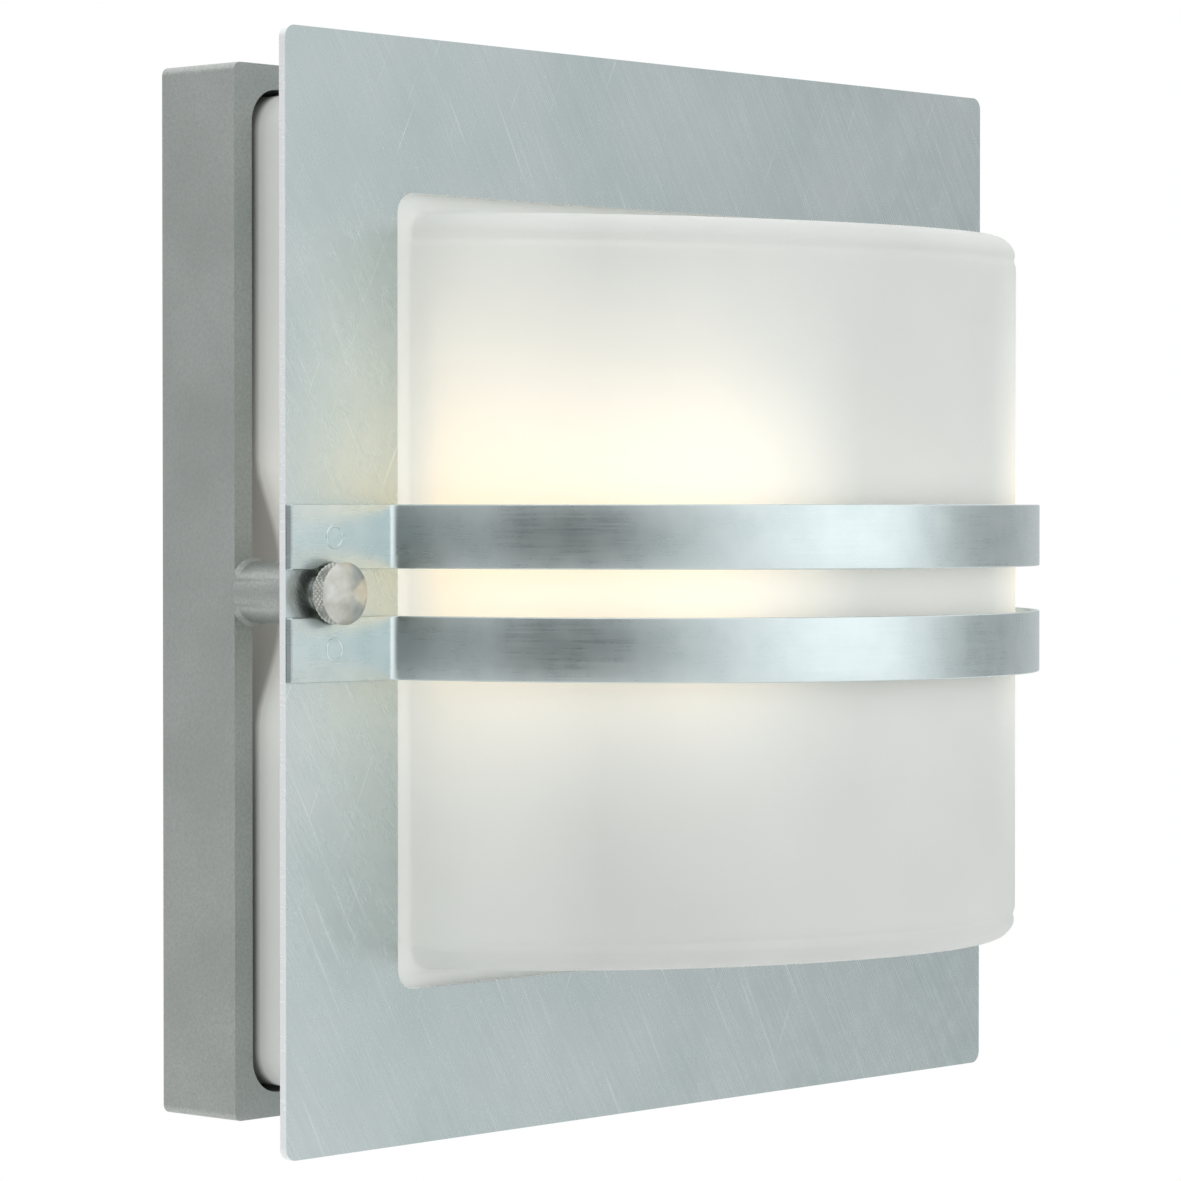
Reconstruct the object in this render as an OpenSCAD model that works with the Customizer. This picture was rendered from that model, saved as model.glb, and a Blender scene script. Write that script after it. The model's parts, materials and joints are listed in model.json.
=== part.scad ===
// Outdoor wall lantern: a square cast box, a bulged frosted glass held by a sheet steel
// frame with two bowed guard bands, and two knurled thumb screws. Millimetres.
// Origin: centre of the back face on the wall. X is to the right seen from the front,
// Y points into the wall, Z is up. Distances named "_at" are measured out from the wall.

/* [Cast box] */
// Outer width and height of the box
box_size = 247; // [243:1:249]
// Depth of the box from the wall to its rim
box_depth = 24.6; // [23:0.2:28]
// Thickness of the back wall
back_wall = 3; // [2.5:0.5:3.5]
// Wall thickness at the rim
rim_width = 5.8; // [5:0.1:6]
// Outer corner radius of the box
box_corner_r = 2; // [1:0.5:4]
// Radius of the two screw pillars
pillar_r = 7.2; // [7:0.1:7.6]

/* [Glass] */
// Width and height of the glass skirt that sits in the box
skirt_size = 233; // [230:1:234]
// Glass wall thickness
glass_wall = 4.5; // [4:0.5:5]
// Radius of the bulged front
dome_r = 87.8; // [86:0.1:88]
// Height of the bulged front
dome_height = 178.4; // [176:0.2:182]
// Rounding of the bulge's top and bottom edge
dome_edge_r = 6; // [5.5:0.5:9]

/* [Frame] */
// Width and height of the front plate
plate_size = 260; // [256:1:264]
// Sheet thickness of the plate and the bands
sheet = 2; // [1.5:0.5:2]
// Distance from the wall to the back of the plate
plate_at = 46.4; // [45:0.2:48]
// Width and height of the window in the plate
window_size = 187; // [186:1:189]
// Height of each guard band
band_height = 15; // [14:0.5:16]
// Gap between the two guard bands
band_gap = 11; // [10.6:0.2:12]
// Outer radius of the guard bands
band_r = 93.7; // [93.5:0.1:95]

/* [Thumb screws] */
// Distance of each screw from the middle
screw_x = 117; // [116.5:0.1:117.5]
// Diameter of the knurled head
head_d = 14.5; // [13:0.5:15]
// Nominal thread diameter
screw_d = 5; // [5:1:6]

/* [Lamp] */
// Distance from the wall to the lamp's axis
lamp_at = 68; // [64:1:72]
// Height of the lamp's foot contact
lamp_foot_z = -54; // [-55:1:-53]
// Diameter of the lamp's globe
globe_d = 60; // [55:1:60]

/* [Hidden] */
$fn = 96;
running_fit = 0.05;
overlap = 1;

// Depths of the glass and its seat
opening_corner_r = 8;
pillar_skirt = 1;
ledge_at = 10;
gasket_t = 4;
skirt_at = ledge_at + gasket_t;
ledge_inset = 7;
gasket_width = 6;
skirt_corner_r = 9;
skirt_corner_min = 1.5;
notch_r = 46;
notch_x = 154.5;

// Frame
plate_front = plate_at + sheet;
plate_corner_r = 3;
window_corner_r = 5;
band_z = (band_gap + band_height) / 2;
foot_start = band_r - sheet / 2;
plate_hole_d = 5.5;

// Thumb screw, measured forward from the plate
washer_d = 10;
washer_t = 1;
neck_d = 8;
head_at = 2.8;
knurl_len = 3.4;
chamfer_len = 0.6;
face_d = 12.8;
dome_rise = 1.4;
engaged = 6.4;
insert_d = 7.5;
insert_len = 14;
tip_room = 3;

// Inside of the box
reflector_at = 24;
reflector_t = 1.5;
reflector_size = 196;
reflector_corner_r = 8;
boss_pos = 85;
boss_r = 5;
boss_hole_start = 6;
small_screw_d = 4;
clearance = 0.5;
wall_hole_x = 60;
wall_hole_z = 95;
wall_hole_d = 5.5;
entry_z = 20;
entry_hole_d = 20;
grommet_flange_d = 25;
grommet_flange_t = 2;
grommet_rise = 3;
cable_d = 10;
clamp_z = 48;
clamp_x = 11;
clamp_post = 6;
clamp_post_r = 4;
clamp_t = 3;
clamp_height = 9;
clamp_overhang = 4.5;
clamp_screw_d = 3;
clamp_screw_len = 8;
earth_pos = [50, -40];
earth_boss = 4;
earth_boss_r = 6;
earth_screw_len = 5;
floor_hole_depth = 9;
lug_t = 1;
lug_r = 5;
lug_tail = [8, 3];
lug_reach = 10;
feed_hole_d = 12;
feed_z = -80;

// Terminal block, its bores measured from the back wall
terminal_pos = [-40, 0];
terminal_size = [18, 34, 14];
terminal_corner_r = 2;
terminal_pitch = 10;
terminal_row = [-1:1];
bore_at = 7;
bore_run = 30;
sleeve_d = 5;
sleeve_len = 16;
sleeve_bore = 3;
well_x = 5;
well_d = 4;
well_depth = 20;
grub_d = 3;
grub_len = 4.6;
grub_at = 8.4;
grub_slot = [0.6, 0.6];
wire_d = 2.4;

// Lamp holder
cap_d = 26.4;
cap_len = 26;
cap_wall = 0.6;
cap_taper = 3;
cap_foot_d = 18;
insulator_d = 16;
insulator_foot_d = 11;
insulator_len = 6;
foot_contact_d = 8;
foot_contact_t = 2.5;
holder_bore_d = 28.8;
shell_d = 28.6;
shell_len = 19;
shell_z = lamp_foot_z + 5;
shell_wall = 0.5;
spring_disc_d = 16;
spring_disc_t = 1;
spring_d = 6;
spring_len = 3;
holder_r = 20;
holder_foot_len = 6;
holder_foot_taper = 3;
holder_lip = 2;
holder_lip_taper = 1;
holder_floor_t = 12;
holder_floor_z = lamp_foot_z - 16;
holder_top_z = lamp_foot_z + 27;
bracket_t = 2;
bracket_width = 30;
bracket_top_z = -34;
bracket_front = lamp_at + 22;
bracket_screw_z = [-43, -60];
bracket_screw_len = 8;
bracket_nut_across = 7;
bracket_nut_t = 3.2;
reflector_screw_len = 12;
nipple_d = 10;
nipple_bore = 7.4;
nipple_half = 6;
nut_across = 17;
nut_t = 3;

// Lamp
globe_r = globe_d / 2;
globe_z = lamp_foot_z + 74;
neck_r = 12.4;
neck_z = lamp_foot_z + 8;
neck_flare = [2, 5];
shoulder = [0.87, 0.5];
envelope_wall = 1;
stem_z = lamp_foot_z + 26;
stem_base_len = 16;
stem_base_d = 15;
stem_top_d = 8;
stem_rod_d = 4;
stem_rod_len = 36;
stem_disc_t = 2;
lead_d = 1;
lead_len = 46;
lead_gap = 3.2;
arm_len = 12;
coil_d = 1.6;
coil_overlap = 0.2;

// ---- shared helpers ----

// Children drawn with x right, y up and z out from the wall, starting d from the wall
module from_wall(d = 0) translate([0, -d, 0]) rotate([90, 0, 0]) children();

module rounded(w, h, r) {
    square([w - 2 * r, h], center = true);
    square([w, h - 2 * r], center = true);
    for (x = [-1, 1], y = [-1, 1])
        translate([x * (w / 2 - r), y * (h / 2 - r)]) circle(r);
}

module mirrored_x(x) for (s = [-1, 1]) translate([s * x, 0, 0]) children();

module four(x, y) for (sx = [-1, 1], sy = [-1, 1]) translate([sx * x, sy * y, 0]) children();

// Outline of the glass skirt, cut back round the two pillars
module skirt_outline(inset) {
    w = skirt_size - 2 * inset;
    difference() {
        rounded(w, w, max(skirt_corner_r - inset, skirt_corner_min));
        mirrored_x(notch_x) circle(notch_r + inset);
    }
}

// Straight-sided bulge: a half cylinder with rounded ends on a short square root
module bulge(r, height, edge_r, root_at) {
    from_wall(root_at) linear_extrude(plate_front - root_at) rounded(2 * r, height, edge_r);
    intersection() {
        translate([0, -plate_front, 0]) rotate_extrude() intersection() {
            rounded(2 * r, height, edge_r);
            translate([0, -height / 2]) square([r, height]);
        }
        translate([-r, -plate_front - r, -height / 2]) cube([2 * r, r, height]);
    }
}

// A drilled hole or bore that runs past both faces of a plate
module through(t, d) translate([0, 0, -overlap]) cylinder(h = t + 2 * overlap, d = d);

// Pan-head screw pointing back to the wall, its head seated at z = 0, sized by its diameter
module pan_screw(d, len) {
    rim = [1.9, 0.5];
    crown = [1.5, 0.6];
    slot = [0.2, 0.3];
    translate([0, 0, -len]) cylinder(h = len, d = d);
    difference() {
        union() {
            cylinder(h = rim[1] * d, d = rim[0] * d);
            cylinder(h = crown[1] * d, d = crown[0] * d);
        }
        translate([-d, -slot[0] * d / 2, slot[1] * d]) cube([2 * d, slot[0] * d, d]);
    }
}

// ---- box ----

// Screw pillar: kept inside the box below its rim, then round, with a small skirt on the rim
module pillars() {
    linear_extrude(box_depth) intersection() {
        rounded(box_size, box_size, box_corner_r);
        mirrored_x(screw_x) circle(pillar_r);
    }
    translate([0, 0, box_depth]) {
        mirrored_x(screw_x) cylinder(h = plate_at - box_depth, r = pillar_r);
        intersection() {
            linear_extrude(pillar_skirt) rounded(box_size, box_size, box_corner_r);
            mirrored_x(screw_x) cylinder(h = pillar_skirt, r1 = pillar_r + pillar_skirt, r2 = pillar_r);
        }
    }
}

module back_box() color("#8f9694") difference() {
    union() {
        difference() {
            from_wall() linear_extrude(box_depth) rounded(box_size, box_size, box_corner_r);
            from_wall(ledge_at) linear_extrude(box_depth)
                rounded(box_size - 2 * rim_width, box_size - 2 * rim_width, opening_corner_r);
            from_wall(back_wall) linear_extrude(box_depth) skirt_outline(ledge_inset);
        }
        from_wall() pillars();
        from_wall(back_wall) {
            four(boss_pos, boss_pos) cylinder(h = reflector_at - back_wall, r = boss_r);
            translate([0, clamp_z, 0]) mirrored_x(clamp_x) cylinder(h = clamp_post, r = clamp_post_r);
            translate(earth_pos) cylinder(h = earth_boss, r = earth_boss_r);
        }
    }
    from_wall(plate_at - insert_len) mirrored_x(screw_x)
        cylinder(h = insert_len + overlap, d = insert_d);
    from_wall(plate_at - insert_len - tip_room) mirrored_x(screw_x) cylinder(h = insert_len, d = screw_d);
    from_wall(back_wall + boss_hole_start) four(boss_pos, boss_pos)
        cylinder(h = box_depth, d = small_screw_d + 2 * running_fit);
    from_wall(back_wall - overlap) {
        translate([0, clamp_z, 0]) mirrored_x(clamp_x)
            cylinder(h = floor_hole_depth, d = clamp_screw_d + 2 * running_fit);
        translate(earth_pos) cylinder(h = floor_hole_depth, d = small_screw_d + 2 * running_fit);
    }
    from_wall() {
        four(wall_hole_x, wall_hole_z) through(back_wall, wall_hole_d);
        translate([0, entry_z, 0]) through(back_wall, entry_hole_d);
    }
}

module pillar_inserts() color("#b8964f") from_wall(plate_at - insert_len)
    mirrored_x(screw_x) difference() {
        cylinder(h = insert_len, d = insert_d);
        through(insert_len, screw_d + 2 * running_fit);
    }

module cable_grommet() color("#26282a") translate([0, 0, entry_z]) from_wall() difference() {
    union() {
        cylinder(h = back_wall + grommet_rise, d = entry_hole_d);
        translate([0, 0, back_wall]) cylinder(h = grommet_flange_t, d = grommet_flange_d);
    }
    through(back_wall + grommet_rise, cable_d);
}

// ---- glass ----

module glass_gasket() color("#2b2d2e") from_wall(ledge_at) linear_extrude(gasket_t) difference() {
    skirt_outline(0);
    skirt_outline(gasket_width);
}

module glass_diffuser() color("#e4e2d8") difference() {
    union() {
        from_wall(skirt_at) linear_extrude(plate_at - skirt_at) skirt_outline(0);
        bulge(dome_r, dome_height, dome_edge_r, plate_at - overlap);
    }
    from_wall(skirt_at - overlap) linear_extrude(plate_at - skirt_at - glass_wall + overlap)
        skirt_outline(glass_wall);
    inner_height = dome_height - 2 * glass_wall;
    bulge(dome_r - glass_wall, inner_height, dome_edge_r - glass_wall, skirt_at + overlap);
}

// ---- frame ----

module front_plate() color("#aab4b4") from_wall(plate_at) linear_extrude(sheet) difference() {
    rounded(plate_size, plate_size, plate_corner_r);
    rounded(window_size, window_size, window_corner_r);
    mirrored_x(screw_x) circle(d = plate_hole_d);
}

// One bowed band with its two flat feet, centred at height z
module guard_band(z) color("#9fabac") translate([0, -plate_front, z - band_height / 2]) {
    linear_extrude(band_height) {
        intersection() {
            difference() {
                circle(band_r);
                circle(band_r - sheet);
            }
            translate([-band_r, -band_r]) square([2 * band_r, band_r]);
        }
        for (s = [-1, 1])
            translate([s * (foot_start + plate_size / 2) / 2, -sheet / 2])
                square([plate_size / 2 - foot_start, sheet], center = true);
    }
}

module upper_band() guard_band(band_z);

module lower_band() guard_band(-band_z);

// ---- thumb screws ----

module screw_washer(side) color("#c3c8c8") translate([side * screw_x, 0, 0])
    from_wall(plate_front) difference() {
        cylinder(h = washer_t, d = washer_d);
        through(washer_t, screw_d + 2 * running_fit);
    }

module left_screw_washer() screw_washer(-1);

module right_screw_washer() screw_washer(1);

module thumb_screw(side) color("#b9b4a8") translate([side * screw_x, 0, 0])
    from_wall(plate_front) {
        tip = sheet + engaged;
        cap_r = (face_d * face_d / 4 + dome_rise * dome_rise) / (2 * dome_rise);
        translate([0, 0, -tip]) cylinder(h = tip + head_at, d = screw_d);
        translate([0, 0, washer_t]) cylinder(h = head_at - washer_t, d = neck_d);
        translate([0, 0, head_at]) cylinder(h = knurl_len, d = head_d);
        translate([0, 0, head_at + knurl_len]) cylinder(h = chamfer_len, d1 = head_d, d2 = face_d);
        translate([0, 0, head_at + knurl_len + chamfer_len]) intersection() {
            cylinder(h = dome_rise, d = face_d);
            translate([0, 0, dome_rise - cap_r]) sphere(cap_r);
        }
    }

module left_thumb_screw() thumb_screw(-1);

module right_thumb_screw() thumb_screw(1);

// ---- reflector and bracket ----

module reflector_plate() color("white") from_wall(reflector_at) linear_extrude(reflector_t) difference() {
    rounded(reflector_size, reflector_size, reflector_corner_r);
    four(boss_pos, boss_pos) circle(d = small_screw_d + clearance);
    translate([0, feed_z]) circle(d = feed_hole_d);
    for (z = bracket_screw_z) translate([0, z]) circle(d = small_screw_d + clearance);
}

module reflector_screws() color("#c3c8c8") from_wall(reflector_at + reflector_t)
    four(boss_pos, boss_pos) pan_screw(small_screw_d, reflector_screw_len);

module holder_bracket() color("#b4b8b8") difference() {
    union() {
        from_wall(reflector_at + reflector_t)
            translate([-bracket_width / 2, holder_floor_z - bracket_t, 0])
            cube([bracket_width, bracket_top_z - holder_floor_z + bracket_t, bracket_t]);
        translate([-bracket_width / 2, -bracket_front, holder_floor_z - bracket_t])
            cube([bracket_width, bracket_front - reflector_at - reflector_t, bracket_t]);
    }
    from_wall(reflector_at + reflector_t) for (z = bracket_screw_z) translate([0, z, 0])
        through(bracket_t, small_screw_d + clearance);
    at_lamp(holder_floor_z - bracket_t) through(bracket_t, nipple_d + clearance);
}

module bracket_screws() color("#c3c8c8") from_wall(reflector_at + reflector_t + bracket_t)
    for (z = bracket_screw_z) translate([0, z, 0]) pan_screw(small_screw_d, bracket_screw_len);

module hex_nut(across, t, bore) difference() {
    cylinder(h = t, d = across / cos(30), $fn = 6);
    through(t, bore);
}

module bracket_nuts() color("#c3c8c8") from_wall(reflector_at - bracket_nut_t)
    for (z = bracket_screw_z) translate([0, z, 0])
        hex_nut(bracket_nut_across, bracket_nut_t, small_screw_d + 2 * running_fit);

// ---- lamp holder ----

module at_lamp(z) translate([0, -lamp_at, z]) children();

module lamp_holder() color("#ece9e2") difference() {
    holder_len = holder_top_z - holder_floor_z;
    spring_z = lamp_foot_z - spring_len - spring_disc_t;
    union() {
        at_lamp(holder_floor_z)
            cylinder(h = holder_foot_len, r1 = holder_r - holder_foot_taper, r2 = holder_r);
        at_lamp(holder_floor_z + holder_foot_len)
            cylinder(h = holder_len - holder_foot_len - holder_lip, r = holder_r);
        at_lamp(holder_top_z - holder_lip)
            cylinder(h = holder_lip, r1 = holder_r, r2 = holder_r - holder_lip_taper);
    }
    at_lamp(spring_z) cylinder(h = holder_len, d = holder_bore_d);
    at_lamp(holder_floor_z - overlap) cylinder(h = nipple_half + overlap, d = nipple_d);
    at_lamp(holder_floor_z) through(holder_floor_t, nipple_bore);
}

module holder_nipple() color("#c9b26a") at_lamp(holder_floor_z - nipple_half) difference() {
    cylinder(h = 2 * nipple_half, d = nipple_d);
    through(2 * nipple_half, nipple_bore);
}

module holder_nut() color("#c3c8c8") at_lamp(holder_floor_z - bracket_t - nut_t)
    hex_nut(nut_across, nut_t, nipple_d + 2 * running_fit);

module holder_shell() color("#c9b26a") at_lamp(shell_z) difference() {
    cylinder(h = shell_len, d = shell_d);
    through(shell_len, shell_d - 2 * shell_wall);
}

module holder_contact() color("#c9b26a") {
    at_lamp(lamp_foot_z - spring_len - spring_disc_t) cylinder(h = spring_disc_t, d = spring_disc_d);
    at_lamp(lamp_foot_z - spring_len) cylinder(h = spring_len, d = spring_d);
}

// ---- lamp ----

// Half section of the globe and its neck, open at the foot
module envelope_profile(inset) intersection() {
    union() {
        translate([0, globe_z]) circle(globe_r - inset);
        polygon([
            [0, neck_z], [neck_r - inset, neck_z], [neck_r - inset, lamp_foot_z + cap_len],
            [neck_r - inset + neck_flare[0], lamp_foot_z + cap_len + neck_flare[1]],
            [globe_r * shoulder[0] - inset, globe_z - globe_r * shoulder[1]], [0, globe_z]
        ]);
    }
    translate([0, neck_z]) square([globe_r, globe_z + globe_r - neck_z]);
}

module bulb_glass() color("#f4ead2") translate([0, -lamp_at, 0]) rotate_extrude() difference() {
    envelope_profile(0);
    envelope_profile(envelope_wall);
}

module bulb_cap() color("#c8cacb") difference() {
    collar_z = lamp_foot_z + insulator_len;
    union() {
        at_lamp(collar_z) cylinder(h = cap_len - insulator_len, d = cap_d);
        at_lamp(collar_z - cap_taper) cylinder(h = cap_taper, d1 = cap_foot_d, d2 = cap_d);
    }
    at_lamp(collar_z) cylinder(h = cap_len, d = cap_d - 2 * cap_wall);
    at_lamp(collar_z - cap_taper) through(cap_taper, insulator_d);
}

module bulb_insulator() color("#1c1c1e") difference() {
    at_lamp(lamp_foot_z + 1) cylinder(h = insulator_len, d1 = insulator_foot_d, d2 = insulator_d);
    at_lamp(lamp_foot_z) cylinder(h = foot_contact_t, d = foot_contact_d);
}

module bulb_contact() color("#b0b4b6") at_lamp(lamp_foot_z)
    cylinder(h = foot_contact_t, d = foot_contact_d);

module bulb_stem() color("#dfe6e4") {
    at_lamp(neck_z) cylinder(h = stem_disc_t, r = neck_r - envelope_wall);
    at_lamp(stem_z - stem_base_len) cylinder(h = stem_base_len, d1 = stem_base_d, d2 = stem_top_d);
    at_lamp(stem_z) cylinder(h = stem_rod_len, d = stem_rod_d);
}

module bulb_filament() color("#8d8375") {
    at_lamp(stem_z) mirrored_x(lead_gap) cylinder(h = lead_len, d = lead_d);
    at_lamp(stem_z + lead_len) for (s = [-1, 1])
        translate([s * lead_gap, 0, 0]) rotate([0, s * 90, 0]) cylinder(h = arm_len, d = lead_d);
    at_lamp(stem_z + lead_len) rotate([0, 90, 0])
        cylinder(h = 2 * (lead_gap + coil_overlap), d = coil_d, center = true);
}

// ---- wiring ----

module terminal_block() color("#e9e6dc") difference() {
    translate([terminal_pos[0], 0, terminal_pos[1]]) from_wall(back_wall) linear_extrude(terminal_size[2])
        rounded(terminal_size[0], terminal_size[1], terminal_corner_r);
    for (i = terminal_row) {
        terminal_rod(i, bore_run, sleeve_d);
        screw_wells(i, well_d);
    }
}

// Rod along the bore of terminal i, centred in the block
module terminal_rod(i, len, d) translate([terminal_pos[0], -back_wall - bore_at, i * terminal_pitch])
    rotate([0, 90, 0]) cylinder(h = len, d = d, center = true);

// The two screw holes of terminal i, from its bore out to the front
module screw_wells(i, d) translate([terminal_pos[0], 0, i * terminal_pitch])
    from_wall(back_wall + bore_at) mirrored_x(well_x) cylinder(h = well_depth, d = d);

module terminal_sleeves() color("#c9b26a") for (i = terminal_row) difference() {
    terminal_rod(i, sleeve_len, sleeve_d);
    terminal_rod(i, bore_run, sleeve_bore);
    screw_wells(i, grub_d);
}

module terminal_screws() color("#c3c8c8") for (i = terminal_row)
    translate([terminal_pos[0], 0, i * terminal_pitch]) from_wall(back_wall + grub_at)
        mirrored_x(well_x) difference() {
            cylinder(h = grub_len, d = grub_d);
            translate([-grub_d, -grub_slot[0] / 2, grub_len - grub_slot[1]])
                cube([2 * grub_d, grub_slot[0], 2 * grub_slot[1]]);
        }

module cable_clamp() color("#34373a") translate([0, 0, clamp_z]) from_wall(back_wall + clamp_post)
    linear_extrude(clamp_t) difference() {
        rounded(2 * (clamp_x + clamp_overhang), clamp_height, terminal_corner_r);
        mirrored_x(clamp_x) circle(d = clamp_screw_d + clearance);
    }

module clamp_screws() color("#c3c8c8") translate([0, 0, clamp_z])
    from_wall(back_wall + clamp_post + clamp_t) mirrored_x(clamp_x)
        pan_screw(clamp_screw_d, clamp_screw_len);

module earth_screw() color("#b8964f") translate([earth_pos[0], 0, earth_pos[1]])
    from_wall(back_wall + earth_boss + lug_t) pan_screw(small_screw_d, earth_screw_len);

module earth_lug() color("#c9ccc9") translate([earth_pos[0], 0, earth_pos[1]])
    from_wall(back_wall + earth_boss) linear_extrude(lug_t) difference() {
        union() {
            circle(lug_r);
            translate([-lug_reach, -lug_tail[1] / 2]) square(lug_tail);
        }
        circle(d = small_screw_d + clearance);
    }

// A wire swept along a smooth curve through hand-placed points
function unit(v) = v / norm(v);
function curve_point(p, i, t) = let (
        a = p[max(i - 1, 0)], b = p[i], c = p[i + 1], d = p[min(i + 2, len(p) - 1)])
    0.5 * (2 * b + (c - a) * t + (2 * a - 5 * b + 4 * c - d) * t * t
        + (3 * b - a - 3 * c + d) * t * t * t);
function curve(p, steps) = concat(
    [for (i = [0:len(p) - 2], k = [0:steps - 1]) curve_point(p, i, k / steps)], [p[len(p) - 1]]);
function tangents(c) = [for (i = [0:len(c) - 1]) unit(c[min(i + 1, len(c) - 1)] - c[max(i - 1, 0)])];
function carried(n, t) = unit(n - (n * t) * t);
function normals(t, start) = [
    for (i = 0, n = carried(start, t[0]); i < len(t); i = i + 1, n = carried(n, t[min(i, len(t) - 1)])) n];

module wire(route, start) {
    sides = 8;
    steps = 6;
    c = curve(route, steps);
    t = tangents(c);
    n = normals(t, start);
    rings = [for (i = [0:len(c) - 1], k = [0:sides - 1]) let (a = 360 * k / sides, b = cross(t[i], n[i]))
        c[i] + wire_d / 2 * (cos(a) * n[i] + sin(a) * b)];
    last = len(c) - 1;
    polyhedron(rings, concat(
        [[for (k = [0:sides - 1]) k]],
        [for (i = [0:last - 1], k = [0:sides - 1]) let (m = (k + 1) % sides)
            [i * sides + k, (i + 1) * sides + k, (i + 1) * sides + m, i * sides + m]],
        [[for (k = [0:sides - 1]) last * sides + sides - 1 - k]]), convexity = 10);
}

wire_at = back_wall + bore_at;
wire_in = 3;
wire_out = terminal_pos[0] + wire_in;
block_side = terminal_pos[0] + terminal_size[0] / 2;
behind_feed = [-14, -74];
through_feed = [-24, feed_z];
before_feed = [-38, feed_z - 1];

// The last stretch, round under the holder and up into its nipple, side by side at x
function up_the_nipple(x) = [
    [x, 12 - lamp_at, holder_floor_z - 13], [x, 2 - lamp_at, holder_floor_z - 11],
    [x, -lamp_at, holder_floor_z - 4], [x, -lamp_at, holder_floor_z + 7]
];
// The stretch out of terminal i, straight for a little way
function out_of_block(i) = [
    [wire_out, -wire_at, i * terminal_pitch], [block_side, -wire_at, i * terminal_pitch]
];
// The stretch through the feed hole of the reflector, at x
function through_reflector(x) = [
    [x, behind_feed[0], behind_feed[1]], [x, through_feed[0], through_feed[1]],
    [x, before_feed[0], before_feed[1]]
];
live_route = concat(
    out_of_block(1), [[-25, -wire_at, terminal_pitch], [-8, -14, -10], [-3, -12, -55]],
    through_reflector(-2), up_the_nipple(-1.8));
neutral_route = concat(
    out_of_block(0), [[-25, -wire_at, 0], [-9, -9, -20], [2, -9, -55]],
    through_reflector(2), up_the_nipple(1.8));
earth_route = concat(
    out_of_block(-1), [[-25, -9, -13], [-16, -6, -24], [-4, -5, -35], [14, -5, -40],
    [27, -7, -40], [35, -9.3, -40], [39, -9.3, -40], [44, -9.3, -40]]);

module live_wire() color("#6b4226") wire(live_route, [0, 0, 1]);

module neutral_wire() color("#2f5da8") wire(neutral_route, [0, 0, 1]);

module earth_wire() color("#6f9a2e") wire(earth_route, [0, 0, 1]);

back_box();
pillar_inserts();
cable_grommet();
glass_gasket();
glass_diffuser();
front_plate();
upper_band();
lower_band();
left_screw_washer();
right_screw_washer();
left_thumb_screw();
right_thumb_screw();
reflector_plate();
reflector_screws();
holder_bracket();
bracket_screws();
bracket_nuts();
lamp_holder();
holder_nipple();
holder_nut();
holder_shell();
holder_contact();
bulb_glass();
bulb_cap();
bulb_insulator();
bulb_contact();
bulb_stem();
bulb_filament();
terminal_block();
terminal_sleeves();
terminal_screws();
cable_clamp();
clamp_screws();
earth_screw();
earth_lug();
live_wire();
neutral_wire();
earth_wire();
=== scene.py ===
"""Looks of an outdoor wall lantern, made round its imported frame.

Metres, in the part's own frame: X to the right seen from the front, Y into the wall, Z up.
"""
import json
import math

import bmesh
import bpy
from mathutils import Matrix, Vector


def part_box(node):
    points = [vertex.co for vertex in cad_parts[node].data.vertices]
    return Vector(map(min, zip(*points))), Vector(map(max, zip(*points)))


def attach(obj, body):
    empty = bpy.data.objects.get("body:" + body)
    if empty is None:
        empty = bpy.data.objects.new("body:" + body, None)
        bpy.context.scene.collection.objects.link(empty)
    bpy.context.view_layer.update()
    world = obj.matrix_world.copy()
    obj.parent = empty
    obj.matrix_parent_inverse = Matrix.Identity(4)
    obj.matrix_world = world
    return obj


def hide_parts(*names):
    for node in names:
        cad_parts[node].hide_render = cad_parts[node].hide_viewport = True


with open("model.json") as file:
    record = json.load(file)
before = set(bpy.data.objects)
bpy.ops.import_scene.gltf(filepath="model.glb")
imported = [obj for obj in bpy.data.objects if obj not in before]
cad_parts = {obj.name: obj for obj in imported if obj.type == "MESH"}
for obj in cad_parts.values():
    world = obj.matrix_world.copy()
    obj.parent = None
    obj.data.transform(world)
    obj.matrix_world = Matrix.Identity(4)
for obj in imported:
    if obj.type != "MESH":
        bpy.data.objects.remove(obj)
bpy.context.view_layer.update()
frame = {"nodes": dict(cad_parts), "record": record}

MM = 0.001

# Crispness of edges
SHARP_DEGREES = 32
GLASS_SHARP_DEGREES = 60
ROUNDED_EDGES = {"back_box": 0.9 * MM, "front_plate": 0.65 * MM}
SMALL_ROUNDED_EDGE = 0.15 * MM

# The camera stands where the photograph was taken from
CAMERA_PLACE = Vector((-0.863, -0.807, 0.019))
CAMERA_HEADING = Vector((0.7408, 0.6717, -0.01728))
CAMERA_LENS_MM = 140.6

# Floor
FLOOR_LEVEL = -0.45
FLOOR_THICKNESS = 0.02
FLOOR_R = 1.5

# Glass: sizes that the node boxes don't give
DOME_HALF_HEIGHT = 89.2 * MM
DOME_EDGE_R = 6 * MM
DOME_COLUMNS = 72
GLASS_WALL = 4.5 * MM
GLASS_DRAFT = 0.035
GROOVE_DOWN = 6.2 * MM
GROOVE_HALF_WIDTH = 1.1 * MM
GROOVE_DEPTH = 0.5 * MM
GROOVE_ROWS_END = 5 * MM
SKIRT_CORNER_R = 9 * MM
SKIRT_CORNER_LEAST_R = 1.5 * MM
SKIRT_FILLET_R = 2.2 * MM
SKIRT_LIP_R = 1 * MM
NOTCH_R = 46 * MM
NOTCH_X = 154.5 * MM
NOTCH_BLEND = 5 * MM

# Painted glow on the glass: emission in place of lamp light and fill light, at its strongest in each zone
PAINTED_WARM_GLOW = 0.27
PAINTED_MIDDLE_GLOW = 0.08
PAINTED_EDGE_GLOW = 0.1

# Guard bands
SHEET = 2 * MM
BEND_R = 3 * MM
BOW_END_TURN = 74  # degrees from a band's nose to where its straight legs start
SHEARED_EDGE_R = 0.3 * MM
WELD_X = 116.1 * MM
WELD_RING_R = 2.5 * MM
WELD_BEAD_R = 0.34 * MM

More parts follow.
